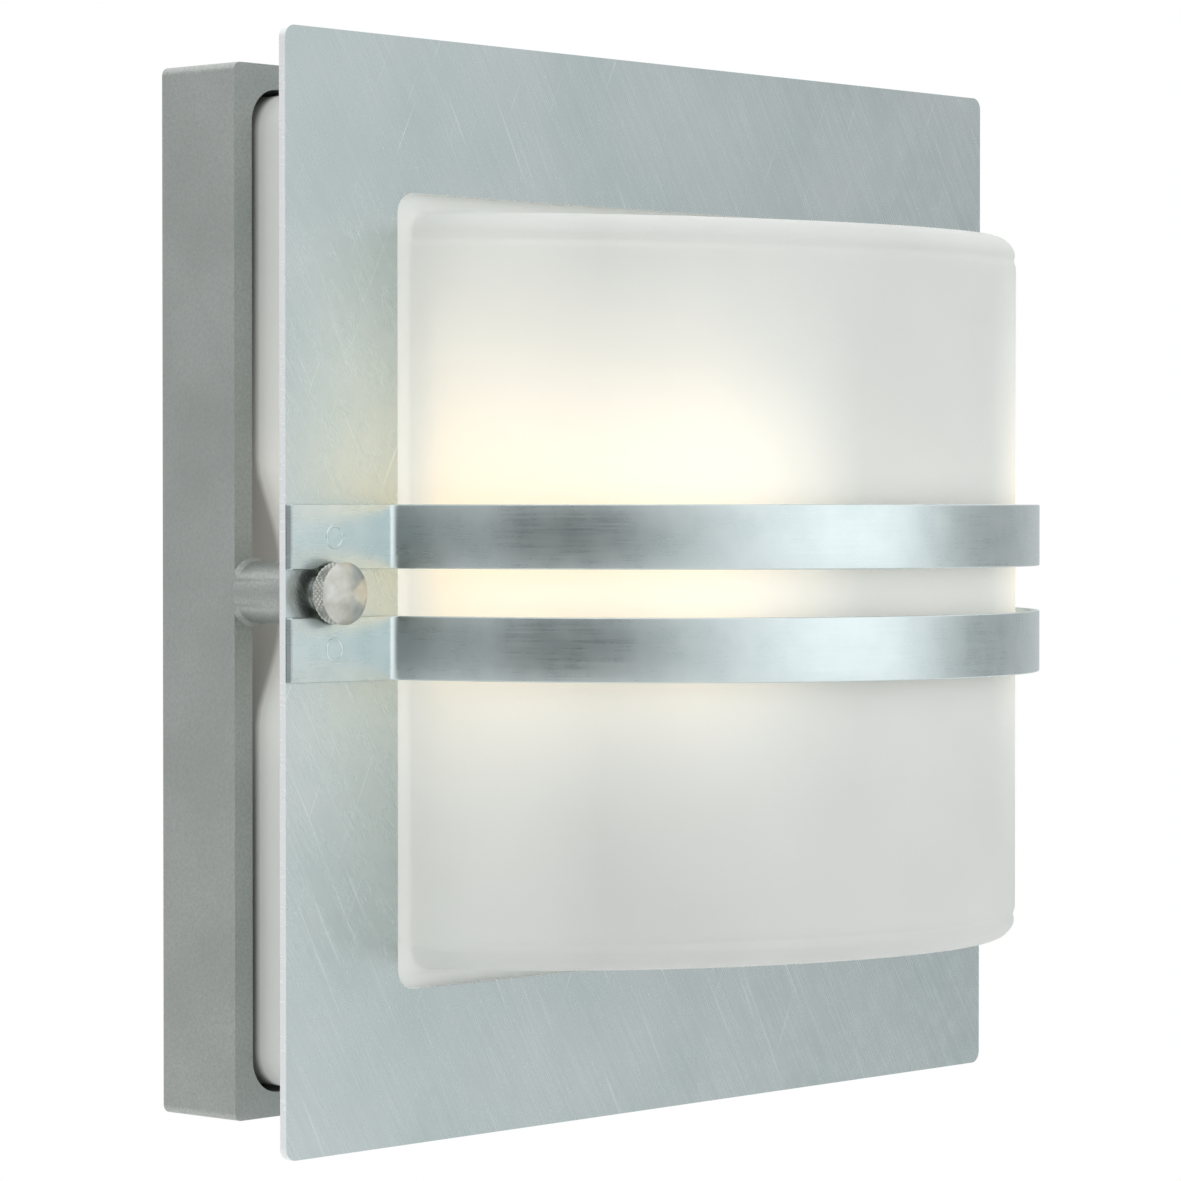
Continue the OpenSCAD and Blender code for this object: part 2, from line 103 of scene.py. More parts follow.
# Thumb screws
NECK_R = 4 * MM
SHANK_R = 2.5 * MM
SHANK_COLUMNS = 40
SHANK_CHAMFER = 0.5 * MM
WASHER_T = 1 * MM
HEAD_OFF = 2.8 * MM
KNURL_LEN = 3.4 * MM
KNURL_R = 7 * MM
KNURL_TEETH = 34
KNURL_DEPTH = 0.55 * MM
KNURL_FADE = 0.35 * MM
KNURL_COLUMNS = KNURL_TEETH * 8
FACE_R = 6.4 * MM
CHAMFER_LEN = 0.6 * MM
THREAD_PITCH = 0.8 * MM
THREAD_DEPTH = 0.3 * MM

# A Mix node's sockets when it mixes colours
MIX_FIRST = 6
MIX_SECOND = 7
MIX_RESULT = 2


# ---- small mesh helpers ----

def steps(start, end, count):
    """count + 1 evenly spaced values from start to end."""
    return [start + (end - start) * i / count for i in range(count + 1)]


def triangle_wave(turns):
    """1 at whole turns, 0 halfway between them."""
    return 2 * abs(turns % 1 - 0.5)


def bridge(first, second, count):
    """Quads between two closed rings of count vertices that start at these indices."""
    return [
        (first + i, first + (i + 1) % count, second + (i + 1) % count, second + i)
        for i in range(count)
    ]


def lofted(rings):
    """Closed tube through rings of equally many points, with a flat cap at each end."""
    count = len(rings[0])
    points = [p for ring in rings for p in ring]
    faces = [f for i in range(len(rings) - 1) for f in bridge(i * count, (i + 1) * count, count)]
    faces.append(tuple(range(count)))
    faces.append(tuple(range(len(points) - count, len(points))))
    return points, faces


def combined(*shells):
    """Several closed shells as one list of points and one of faces."""
    points = []
    faces = []
    for shell_points, shell_faces in shells:
        start = len(points)
        points += shell_points
        faces += [tuple(start + i for i in f) for f in shell_faces]
    return points, faces


def piece(name, shell, body, slot, node, sharp=SHARP_DEGREES):
    """A visible piece made from points and faces, which rides on a body and stands for a CAD node."""
    mesh = bpy.data.meshes.new(name)
    points, faces = shell
    mesh.from_pydata(points, [], faces)
    work = bmesh.new()
    work.from_mesh(mesh)
    bmesh.ops.recalc_face_normals(work, faces=work.faces)
    work.to_mesh(mesh)
    work.free()
    mesh.shade_smooth()
    mesh.set_sharp_from_angle(angle=math.radians(sharp))
    made = bpy.data.objects.new(name, mesh)
    bpy.context.scene.collection.objects.link(made)
    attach(made, body)
    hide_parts(node)
    made.data.materials.append(finish_for(slot))


def soften(node, width):
    """Rounds a CAD node's sharp edges, without touching its own mesh."""
    same_point = 0.002 * MM
    flat_degrees = 0.4
    node.data.shade_smooth()
    weld = node.modifiers.new("weld", "WELD")
    weld.merge_threshold = same_point
    flat = node.modifiers.new("flat", "DECIMATE")
    flat.decimate_type = "DISSOLVE"
    flat.angle_limit = math.radians(flat_degrees)
    bevel = node.modifiers.new("edges", "BEVEL")
    bevel.width = width
    bevel.segments = 3
    bevel.limit_method = "ANGLE"
    bevel.angle_limit = math.radians(SHARP_DEGREES)
    normals = node.modifiers.new("normals", "WEIGHTED_NORMAL")
    normals.weight = 100


# ---- materials ----

class Finish:
    """A Principled material with procedural detail in object space. Sizes are in metres.

    The colour and roughness it starts with hold until paint and rough replace them.
    """

    def __init__(self, name, colour, metallic=0.0, roughness=0.5, **sockets):
        self.material = bpy.data.materials.new(name)
        self.material.use_nodes = True
        self.tree = self.material.node_tree
        self.shader = self.tree.nodes["Principled BSDF"]
        self.shader.inputs["Base Color"].default_value = (*colour, 1)
        self.shader.inputs["Metallic"].default_value = metallic
        self.shader.inputs["Roughness"].default_value = roughness
        for socket, value in sockets.items():
            self.shader.inputs[socket.replace("_", " ")].default_value = value
        self.place = self.node("TexCoord").outputs["Object"]
        self.relief = None

    def node(self, kind, **inputs):
        made = self.tree.nodes.new("ShaderNode" + kind)
        for socket, value in inputs.items():
            self.feed(made.inputs[socket.replace("_", " ")], value)
        return made

    def feed(self, socket, value):
        if isinstance(value, bpy.types.NodeSocket):
            self.tree.links.new(value, socket)
        else:
            socket.default_value = value

    def stretched(self, turn=(0, 0, 0), grain=(1, 1, 1)):
        """Object coordinates turned, then divided by a grain size along each axis."""
        turned = self.node("VectorRotate", Vector=self.place)
        turned.rotation_type = "EULER_XYZ"
        turned.inputs["Rotation"].default_value = [math.radians(a) for a in turn]
        return self.node("Mapping", Vector=turned.outputs[0], Scale=[1 / g for g in grain]).outputs[0]

    def noise(self, size=None, detail=2.0, place=None):
        """A cloudy 0 to 1 pattern, with features about size across, or one unit of place."""
        made = self.node("TexNoise", Vector=place or self.place, Detail=detail)
        made.inputs["Scale"].default_value = 1 / size if size else 1
        return made.outputs["Fac"]

    def spread(self, value, low, high, start=0.3, end=0.7):
        """The value's stretch from start to end mapped to low ... high, and held beyond both ends."""
        ranged = self.node("MapRange", Value=value)
        for socket, number in zip(("From Min", "From Max", "To Min", "To Max"), (start, end, low, high)):
            ranged.inputs[socket].default_value = number
        return ranged.outputs["Result"]

    def maths(self, operation, first, second=0.0):
        made = self.node("Math")
        made.operation = operation
        self.feed(made.inputs[0], first)
        self.feed(made.inputs[1], second)
        return made.outputs[0]

    def bell(self, value, middle, width):
        """1 where the value is at the middle, falling off smoothly to both sides."""
        off = self.maths("DIVIDE", self.maths("SUBTRACT", value, middle), width)
        return self.maths("POWER", math.exp(-0.5), self.maths("MULTIPLY", off, off))

    def facing(self, axis):
        """How squarely the surface faces along one of its own axes, 0 to 1."""
        normal = self.node("SeparateXYZ", Vector=self.node("TexCoord").outputs["Normal"])
        return self.maths("ABSOLUTE", normal.outputs[axis])

    def blend(self, factor, first, second):
        """A colour between two, each a colour or a socket."""
        made = self.node("Mix")
        made.data_type = "RGBA"
        self.feed(made.inputs[0], factor)
        for index, colour in ((MIX_FIRST, first), (MIX_SECOND, second)):
            socket_given = isinstance(colour, bpy.types.NodeSocket)
            self.feed(made.inputs[index], colour if socket_given else (*colour, 1))
        return made.outputs[MIX_RESULT]

    def paint(self, colour):
        self.feed(self.shader.inputs["Base Color"], colour)

    def glow(self, colour, strength):
        self.feed(self.shader.inputs["Emission Color"], colour)
        self.feed(self.shader.inputs["Emission Strength"], strength)

    def rough(self, value):
        self.feed(self.shader.inputs["Roughness"], value)

    def emboss(self, height, depth, strength=1.0):
        """Adds relief of this depth on top of what is there already."""
        made = self.node("Bump", Height=height, Distance=depth, Strength=strength)
        if self.relief:
            self.feed(made.inputs["Normal"], self.relief)
        self.relief = made.outputs["Normal"]
        self.feed(self.shader.inputs["Normal"], self.relief)


def cast_box():
    """Sand-cast aluminium: fine grain all over, and slight clouding."""
    made = Finish("cast_box", (0.5, 0.52, 0.51), metallic=0.7, roughness=0.5)
    clouds = made.noise(30 * MM, 3)
    grain = made.noise(0.7 * MM, 3)
    tone = made.blend(made.spread(clouds, 0, 1), (0.43, 0.46, 0.445), (0.51, 0.535, 0.52))
    made.paint(made.blend(made.spread(grain, 0, 0.5), tone, (0.34, 0.36, 0.35)))
    made.rough(made.spread(grain, 0.42, 0.62))
    made.emboss(grain, 0.12 * MM)
    made.emboss(made.noise(4 * MM, 2), 0.15 * MM, 0.5)
    return made.material


def galvanised_steel():
    """Hot-dip zinc on sheet: soft clouds, faint spangle and slanting wipe marks, with a painted highlight on
    the cut edges.
    """
    made = Finish("galvanised_steel", (0.6, 0.66, 0.66), metallic=1.0, roughness=0.3)
    clouds = made.noise(35 * MM, 4)
    spangle = made.noise(5 * MM, 3)
    wiped = made.noise(place=made.stretched((0, -58, 0), (26 * MM, 5 * MM, 0.45 * MM)), detail=3)
    scored = made.noise(place=made.stretched((0, -62, 0), (40 * MM, 9 * MM, 0.9 * MM)), detail=1)
    crossed = made.noise(place=made.stretched((0, 64, 0), (30 * MM, 9 * MM, 0.8 * MM)), detail=1)
    scored = made.spread(scored, 0, 1, 0.69, 0.8)
    crossed = made.spread(crossed, 0, 1, 0.71, 0.8)
    scores = made.maths("MAXIMUM", scored, crossed)
    tone = made.blend(made.spread(clouds, 0, 1), (0.55, 0.62, 0.62), (0.64, 0.69, 0.69))
    tone = made.blend(made.spread(spangle, 0, 0.35), tone, (0.5, 0.575, 0.58))
    tone = made.blend(made.spread(scores, 0, 0.35, 0, 1), tone, (0.82, 0.86, 0.86))
    # Painted highlight: faces that don't face front, such as the cut edges, get a pale colour and little
    # metal, so they show as a bright line
    front = made.spread(made.facing("Y"), 0, 1, 0.35, 0.8)
    made.paint(made.blend(front, (0.87, 0.89, 0.91), tone))
    made.feed(made.shader.inputs["Metallic"], made.spread(front, 0.1, 1, 0, 1))
    made.rough(made.maths("ADD", made.spread(wiped, 0.19, 0.29), made.spread(spangle, -0.03, 0.05)))
    made.emboss(made.maths("ADD", wiped, scores), 0.006 * MM, 0.5)
    made.emboss(spangle, 0.02 * MM, 0.35)
    return made.material


def galvanised_band():
    """Smooth zinc on strip: brighter than the plate, with faint marks from rolling."""
    made = Finish("galvanised_band", (0.6, 0.65, 0.65), metallic=1.0, roughness=0.16)
    rolled = made.noise(place=made.stretched(grain=(18 * MM, 18 * MM, 0.5 * MM)), detail=3)
    smears = made.noise(7 * MM, 3)
    made.paint(made.blend(made.spread(smears, 0, 1), (0.56, 0.635, 0.64), (0.62, 0.685, 0.69)))
    made.rough(made.maths("ADD", made.spread(rolled, 0.26, 0.33), made.spread(smears, -0.02, 0.02)))
    made.emboss(rolled, 0.003 * MM, 0.4)
    made.emboss(smears, 0.01 * MM, 0.2)
    return made.material


def stainless():
    """Turned stainless steel with fine tool marks round the screw's axis."""
    made = Finish(
        "stainless", (0.55, 0.55, 0.52), metallic=1.0, roughness=0.2,
        Anisotropic=0.9, Anisotropic_Rotation=0.25,
    )
    around = made.node("Tangent")
    around.direction_type = "RADIAL"
    around.axis = "Y"
    made.feed(made.shader.inputs["Tangent"], around.outputs[0])
    marks = made.noise(place=made.stretched(grain=(2 * MM, 0.12 * MM, 2 * MM)), detail=2)
    stains = made.noise(3 * MM, 2)
    made.paint(made.blend(made.spread(stains, 0, 1), (0.45, 0.45, 0.41), (0.6, 0.6, 0.57)))
    made.rough(made.spread(marks, 0.3, 0.36))
    made.emboss(marks, 0.004 * MM, 0.4)
    return made.material


def zinc_steel():
    """Bright zinc plating on small fixings and the holder's bracket."""
    made = Finish("zinc_steel", (0.6, 0.62, 0.62), metallic=1.0, roughness=0.35)
    patches = made.noise(4 * MM, 4)
    made.paint(made.blend(made.spread(patches, 0, 1), (0.5, 0.53, 0.55), (0.68, 0.68, 0.64)))
    made.rough(made.spread(patches, 0.28, 0.44))
    made.emboss(made.noise(0.6 * MM, 2), 0.02 * MM)
    return made.material


def frosted_glass():
    """Satin opal glass, lit from inside by the lamp, with a painted glow added to that light as emission."""
    made = Finish("frosted_glass", (0.8, 0.82, 0.8), roughness=0.5, Transmission_Weight=0.35, IOR=1.45)
    etched = made.noise(0.5 * MM, 2)
    ripple = made.noise(28 * MM, 2)
    made.rough(made.spread(etched, 0.46, 0.54))
    made.emboss(etched, 0.01 * MM, 0.4)
    made.emboss(ripple, 0.3 * MM, 0.25)
    parts = made.node("SeparateXYZ", Vector=made.place)
    depth = parts.outputs["Y"]
    level = parts.outputs["Z"]
    off_middle = made.maths("ABSOLUTE", parts.outputs["X"])
    off_level = made.maths("ABSOLUTE", level)

    # Painted shade: the base colour is darker on the part inside the box, where little light gets in
    shade_in_box = made.spread(depth, 0, 1, -26 * MM, -24 * MM)
    satin = made.blend(made.spread(ripple, 0, 1), (0.78, 0.8, 0.785), (0.81, 0.83, 0.815))
    made.paint(made.blend(shade_in_box, satin, (0.42, 0.43, 0.42)))

    # Painted glow: emission that is warm at lamp height on both sides, faint across the middle, where the
    # bands shade the glass, and faint along the bulge's side walls and on the shoulder above and below it,
    # where the glass lies in shade
    side = made.spread(off_middle, 0, 1, 25 * MM, 60 * MM)
    bulge = made.spread(depth, 1, 0.2, -56 * MM, -46 * MM)
    lamp_level = made.bell(level, 16 * MM, 34 * MM)
    warm = made.maths("MULTIPLY", made.maths("MULTIPLY", side, bulge), lamp_level)
    middle = made.maths("MULTIPLY", made.bell(level, 0, 20 * MM), PAINTED_MIDDLE_GLOW)
    wall = made.spread(off_middle, 0, 1, 74 * MM, 88 * MM)
    rim = made.spread(off_level, 0, 1, 88 * MM, 91 * MM)
    edge = made.maths("MULTIPLY", made.maths("MAXIMUM", wall, rim), PAINTED_EDGE_GLOW)
    edge = made.maths("MULTIPLY", edge, made.maths("SUBTRACT", 1, shade_in_box))
    strength = made.maths("ADD", made.maths("MULTIPLY", warm, PAINTED_WARM_GLOW), made.maths("ADD", middle, edge))
    made.glow(made.blend(warm, (1, 1, 0.94), (1, 0.77, 0.5)), strength)
    return made.material


def bulb_glass():
    """Inside-frosted lamp glass, glowing warm white."""
    made = Finish("bulb_glass", (0.95, 0.9, 0.8), roughness=0.4)
    heat = made.noise(12 * MM, 2)
    colour = made.blend(made.spread(heat, 0, 1), (1, 0.86, 0.68), (1, 0.9, 0.75))
    made.glow(colour, made.spread(heat, 1.4, 1.7))
    return made.material


def clear_glass():
    """Clear pressed glass of the lamp's stem."""
    made = Finish("clear_glass", (0.9, 0.94, 0.92), roughness=0.08, Transmission_Weight=0.9, IOR=1.5)
    made.emboss(made.noise(3 * MM, 2), 0.1 * MM, 0.4)
    made.rough(made.spread(made.noise(2 * MM, 2), 0.04, 0.14))
    return made.material


def plain_finish(name, dark, light, size, metallic=0.0, low=0.35, high=0.5, depth=0.02 * MM):
    """A mottled finish: colour, gloss and relief that follow one noise and a finer one."""
    made = Finish(name, light, metallic=metallic, roughness=high)
    patches = made.noise(size, 4)
    made.paint(made.blend(made.spread(patches, 0, 1), dark, light))
    made.rough(made.spread(patches, low, high))
    made.emboss(made.noise(size / 6, 2), depth)
    return made.material


def black_glass():
    """Glass insulator of the lamp's cap."""
    return plain_finish(
        "black_glass", (0.02, 0.02, 0.022), (0.04, 0.04, 0.045), 3 * MM, low=0.08, high=0.16)


def cap_metal():
    """Nickelled brass of the lamp's cap and the contacts."""
    return plain_finish(
        "cap_metal", (0.6, 0.61, 0.62), (0.76, 0.77, 0.77), 5 * MM, metallic=1.0, low=0.2, high=0.34)


def filament_wire():
    """Tungsten wire."""
    return plain_finish(
        "filament_wire", (0.32, 0.3, 0.28), (0.46, 0.44, 0.41), 1 * MM, metallic=1.0, low=0.3, high=0.5)


def brass():
    """Plain brass, slightly tarnished."""
    return plain_finish(
        "brass", (0.52, 0.38, 0.16), (0.74, 0.58, 0.3), 6 * MM, metallic=1.0, low=0.22, high=0.4)


def porcelain():
    """Glazed white porcelain."""
    return plain_finish(
        "porcelain", (0.8, 0.79, 0.74), (0.88, 0.87, 0.83), 9 * MM, low=0.12, high=0.24, depth=0.05 * MM)


def white_paint():
    """Powder coat: fine orange peel."""
    return plain_finish(
        "white_paint", (0.8, 0.8, 0.77), (0.86, 0.86, 0.84), 8 * MM, low=0.36, high=0.5, depth=0.08 * MM)


def rubber():
    """Dull black rubber."""
    return plain_finish(
        "rubber", (0.022, 0.022, 0.024), (0.045, 0.045, 0.046), 2.5 * MM, low=0.6, high=0.8, depth=0.05 * MM)


def black_plastic():
    """Moulded black plastic."""
    return plain_finish(
        "black_plastic", (0.03, 0.031, 0.033), (0.055, 0.057, 0.06), 2 * MM, low=0.42, high=0.58)


def brown_sleeve():
    """Insulation of the live wire."""
    return plain_finish("brown_sleeve", (0.1, 0.04, 0.018), (0.16, 0.07, 0.03), 4 * MM)


def blue_sleeve():
    """Insulation of the neutral wire."""
    return plain_finish("blue_sleeve", (0.015, 0.07, 0.26), (0.03, 0.11, 0.36), 4 * MM)


def green_sleeve():
    """Earth wire: green with yellow bands along it."""
    made = Finish("green_sleeve", (0.06, 0.26, 0.04), roughness=0.42)
    striped = made.noise(place=made.stretched(grain=(40 * MM, 1.6 * MM, 40 * MM)), detail=0)
    yellow = made.spread(striped, 0, 1, 0.48, 0.52)
    made.paint(made.blend(yellow, (0.05, 0.24, 0.03), (0.62, 0.56, 0.05)))
    made.emboss(made.noise(0.8 * MM, 2), 0.02 * MM)
    return made.material


FINISHES = {
    make.__name__: make
    for make in (
        cast_box, galvanised_steel, galvanised_band, stainless, zinc_steel, frosted_glass, bulb_glass,
        clear_glass, black_glass, cap_metal, filament_wire, brass, porcelain, white_paint, rubber,
        black_plastic, brown_sleeve, blue_sleeve, green_sleeve,
    )
}
made_finishes = {}


def finish_for(slot):
    """The slot's material, made when it is first asked for."""
    if slot not in made_finishes:
        made_finishes[slot] = FINISHES[slot]()
    return made_finishes[slot]


# ---- glass ----

def soft_min(a, b, blend):
    """The smaller of two lengths, rounded over where they cross."""
    share = max(blend - abs(a - b), 0) / blend
    return min(a, b) - share * share * blend / 4


def skirt_reach(across, up, half, inset):
    """Distance from the middle to the skirt's outline, which is cut back round both screw pillars."""
    half -= inset
    corner = max(SKIRT_CORNER_R - inset, SKIRT_CORNER_LEAST_R)
    reach = half / max(across, up)
    if min(across, up) * reach > half - corner:
        along = (half - corner) * (across + up)
        reach = along + math.sqrt(along ** 2 - 2 * (half - corner) ** 2 + corner ** 2)
    notch = NOTCH_R + inset
    miss = NOTCH_X * up
    if miss >= notch:
        return reach
    return soft_min(reach, NOTCH_X * across - math.sqrt(notch ** 2 - miss ** 2), NOTCH_BLEND)


def dome_profile(radius, half_height, edge):
    """Half section of the bulge, from its top pole down to its bottom pole, as (reach, height)."""
    cap = [(reach, half_height) for reach in steps(0, radius - edge, 26)[:-1]]
    rounding = [
        (radius - edge + edge * math.sin(a), half_height - edge + edge * math.cos(a))
        for a in steps(0, math.pi / 2, 10)
    ]
    foot = half_height - edge
    rows_end = foot - GROOVE_ROWS_END
    wall = [(radius, height) for height in steps(foot, rows_end, 20)[1:]]
    wall += [(radius, height) for height in steps(rows_end, 0, 30)[1:]]
    upper = cap + rounding + wall
    return upper + [(reach, -height) for reach, height in reversed(upper[:-1])]


def grooved(reach, height):
    """Pulls the wall in along the pressed line below each rounded edge."""
    groove = math.exp(-(((abs(height) - DOME_HALF_HEIGHT + GROOVE_DOWN) / GROOVE_HALF_WIDTH) ** 2))
    return reach - GROOVE_DEPTH * groove


def bulged_patch(profile, front):
    """Grid over the half-round bulge, with one vertex at each pole: points, faces and its rim."""
    inner = profile[1:-1]
    largest = max(reach for reach, _ in profile)
    points = [(0, front, profile[0][1]), (0, front, profile[-1][1])]
    for turn in steps(-math.pi / 2, math.pi / 2, DOME_COLUMNS):
        for reach, height in inner:
            forward = reach * math.cos(turn)
            draft = 1 - GLASS_DRAFT * forward / largest
            points.append((reach * math.sin(turn), front - forward, height * draft))
    rows = len(inner)
    faces = []
    for column in range(DOME_COLUMNS):
        here = 2 + column * rows
        following = here + rows
        faces.append((0, here, following))
        faces.append((1, here + rows - 1, following + rows - 1))
        faces += [(here + i, here + i + 1, following + i + 1, following + i) for i in range(rows - 1)]
    last = 2 + DOME_COLUMNS * rows
    rim = [0, *range(last, last + rows), 1, *reversed(range(2, 2 + rows))]
    return points, faces, rim


def contour(loop, half, share, inset, depth):
    """The bulge's rim, moved share of the way out to the skirt's outline, at this depth."""
    ring = []
    for x, _, z in loop:
        size = math.hypot(x, z)
        reach = skirt_reach(abs(x) / size, abs(z) / size, half, inset)
        grown = size + (reach - size) * share
        ring.append((x / size * grown, depth, z / size * grown))
    return ring


def skirt_rings(outer_rim, inner_rim, half, shoulder, back):
    """Rings from the bulge's outer rim over the shoulder, round the skirt and in to its inner rim."""
    inner_shoulder = shoulder + GLASS_WALL
    fillet = SKIRT_FILLET_R
    lip = SKIRT_LIP_R

    def outline(inset, depth):
        return contour(outer_rim, half, 1, inset, depth)

    rings = [
        contour(outer_rim, half, share, 0, shoulder - ahead)
        for share, ahead in ((0, 0.9 * MM), (0.02, 0.3 * MM), (0.06, 0))
    ]
    rings += [
        outline(fillet * (1 - math.sin(a)), shoulder + fillet * (1 - math.cos(a)))
        for a in steps(0, math.pi / 2, 5)
    ]
    rings += [
        outline(lip * (1 - math.cos(a)), back - lip * (1 - math.sin(a)))
        for a in steps(0, math.pi / 2, 3)
    ]
    rings += [
        outline(GLASS_WALL - lip * (1 - math.sin(a)), back - lip * (1 - math.cos(a)))
        for a in steps(0, math.pi / 2, 3)
    ]
    rings += [
        outline(GLASS_WALL + fillet * (1 - math.cos(a)), inner_shoulder + fillet * (1 - math.sin(a)))
        for a in steps(0, math.pi / 2, 4)
    ]
    rings.append(contour(inner_rim, half, 0.05, 0, inner_shoulder))
    rings.append(contour(inner_rim, half, 0, 0, inner_shoulder - 1 * MM))
    return rings


def glass_shell():
    """The whole glass as one closed shell: bulge, shoulder and skirt, outside and inside."""
    low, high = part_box("glass_diffuser")
    plate_low, plate_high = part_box("front_plate")
    front = plate_low.y
    radius = front - low.y
    wall_starts = radius - 2 * MM
    outer_profile = [
        (grooved(reach, height) if reach > wall_starts else reach, height)
        for reach, height in dome_profile(radius, DOME_HALF_HEIGHT, DOME_EDGE_R)
    ]
    inner_profile = dome_profile(
        radius - GLASS_WALL, DOME_HALF_HEIGHT - GLASS_WALL, DOME_EDGE_R - GLASS_WALL)
    points, faces, rim = bulged_patch(outer_profile, front)
    inner, inner_faces, _ = bulged_patch(inner_profile, front)
    outer_rim = [points[i] for i in rim]
    inner_rim = [inner[i] for i in rim]
    rings = skirt_rings(outer_rim, inner_rim, high.x, plate_high.y, high.y)

    count = len(rim)
    start = len(points)
    for ring in rings:
        points += ring
    faces += [(rim[i], rim[(i + 1) % count], start + (i + 1) % count, start + i) for i in range(count)]
    for k in range(len(rings) - 1):
        faces += bridge(start + k * count, start + (k + 1) * count, count)
    last = start + (len(rings) - 1) * count
    inside = len(points)
    points += inner
    faces += [
        (last + i, last + (i + 1) % count, inside + rim[(i + 1) % count], inside + rim[i])
        for i in range(count)
    ]
    faces += [tuple(inside + i for i in f) for f in inner_faces]
    return points, faces


# ---- guard bands ----

def band_half_path(front, radius, foot_end):
    """Middle line of a band from its nose to the end of its right foot, as (point, outward normal).

    The bow runs out into a straight leg, which a bend joins to the foot.
    """
    foot_y = front - SHEET / 2
    bow_end = math.radians(BOW_END_TURN)
    leg_foot = (radius - (front - foot_y) * math.cos(bow_end)) / math.sin(bow_end)
    bend_x = leg_foot + BEND_R * math.tan(bow_end / 2)
    bend_y = foot_y - BEND_R
    path = []
    for turn in steps(0, bow_end, 60):
        normal = (math.sin(turn), -math.cos(turn))
        path.append(((radius * normal[0], front + radius * normal[1]), normal))
    for turn in steps(bow_end, 0, 10):
        normal = (math.sin(turn), -math.cos(turn))
        path.append(((bend_x - BEND_R * normal[0], bend_y - BEND_R * normal[1]), normal))
    path += [((x, foot_y), (0, -1)) for x in steps(bend_x, foot_end - SHEARED_EDGE_R, 6)[1:]]
    return path


def strip_section(half_height, inset):
    """Outline of the strip across its length, with rounded edges, as (out, up)."""
    thick = SHEET / 2
    edge = SHEARED_EDGE_R
    corners = [(1, 1, 0), (-1, 1, 90), (-1, -1, 180), (1, -1, 270)]
    return [
        (
            sx * (thick - edge) + (edge - inset) * math.cos(math.radians(start + a)),
            sz * (half_height - edge) + (edge - inset) * math.sin(math.radians(start + a)),
        )
        for sx, sz, start in corners
        for a in steps(0, 90, 3)
    ]


def ring_bead(x, y, z):
    """A shallow raised ring left by a spot weld on a foot's front."""
    flatness = 0.5
    around = 32
    across = 8
    points = []
    for i in range(around):
        a = 2 * math.pi * i / around
        for k in range(across):
            b = 2 * math.pi * k / across
            reach = WELD_RING_R + WELD_BEAD_R * math.cos(b)
            raised = WELD_BEAD_R * flatness * math.sin(b)
            points.append((x + reach * math.cos(a), y - raised, z + reach * math.sin(a)))
    faces = [
        (i * across + k, (i + 1) % around * across + k,
         (i + 1) % around * across + (k + 1) % across, i * across + (k + 1) % across)
        for i in range(around)
        for k in range(across)
    ]
    return points, faces


def band_shell(node):
    """One guard band: a bowed strip with bent feet and the spot welds that hold them."""
    low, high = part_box(node)
    plate_low, plate_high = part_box("front_plate")
    front = plate_low.y
    middle = (low.z + high.z) / 2
    half_height = (high.z - low.z) / 2
    right = band_half_path(front, front - low.y - SHEET / 2, plate_high.x)
    left = [((-x, y), (-nx, ny)) for (x, y), (nx, ny) in reversed(right[1:])]
    path = left + right
    rings = [
        [(x + nx * out, y + ny * out, middle + up) for out, up in strip_section(half_height, 0)]
        for (x, y), (nx, ny) in path
    ]
    left_tip, right_tip = [
        [
            (end, front - SHEET / 2 - out, middle + up)
            for out, up in strip_section(half_height, SHEARED_EDGE_R * 0.95)
        ]
        for end in (plate_low.x, plate_high.x)
    ]
    rings = [left_tip, *rings, right_tip]
    beads = [ring_bead(side * WELD_X, front - SHEET, middle) for side in (-1, 1)]
    return combined(lofted(rings), *beads)


# ---- thumb screws ----

def turned(profile, count, shape=None):
    """Rings round the screw's axis for a profile of (reach, distance from the plate)."""
    rings = []
    for reach, out in profile:
        ring = []
        for i in range(count):
            a = 2 * math.pi * i / count
            shaped = reach + (shape(i / count, out) if shape else 0)
            ring.append((shaped * math.cos(a), out, shaped * math.sin(a)))
        rings.append(ring)
    return rings


def knurl(turn, out):
    """Depth of the crossed grooves at a share of a turn, fading at both ends of the knurl."""
    pitch = 2 * math.pi * KNURL_R / KNURL_TEETH
    along = (out - HEAD_OFF) / pitch
    height = min(triangle_wave(KNURL_TEETH * turn + along), triangle_wave(KNURL_TEETH * turn - along))
    from_end = min(out - HEAD_OFF, HEAD_OFF + KNURL_LEN - out)
    fade = min(max(from_end / KNURL_FADE, 0), 1)
    return -KNURL_DEPTH * fade * (1 - height)


def thread(turn, out):
    """Depth of the thread's groove, a helix round the shank."""
    return -THREAD_DEPTH * (1 - triangle_wave(out / THREAD_PITCH + turn))


def shank_rings(tip):
    """Rings of the shank from its chamfered tip over the thread to the neck, which ends in the head."""
    neck_chamfer = 0.2 * MM
    thread_from = tip + 0.6 * MM
    thread_to = -0.2 * MM
    point = [(SHANK_R - SHANK_CHAMFER, tip), (SHANK_R, tip + SHANK_CHAMFER)]
    threaded = [(SHANK_R, out) for out in steps(thread_from, thread_to, 80)]
    neck = [
        (SHANK_R, 0.2 * MM),
        (SHANK_R, WASHER_T),
        (NECK_R - neck_chamfer, WASHER_T),
        (NECK_R, WASHER_T + neck_chamfer),
        (NECK_R, HEAD_OFF + 0.3 * MM),
    ]
    return (
        turned(point, SHANK_COLUMNS)
        + turned(threaded, SHANK_COLUMNS, thread)
        + turned(neck, SHANK_COLUMNS)
    )


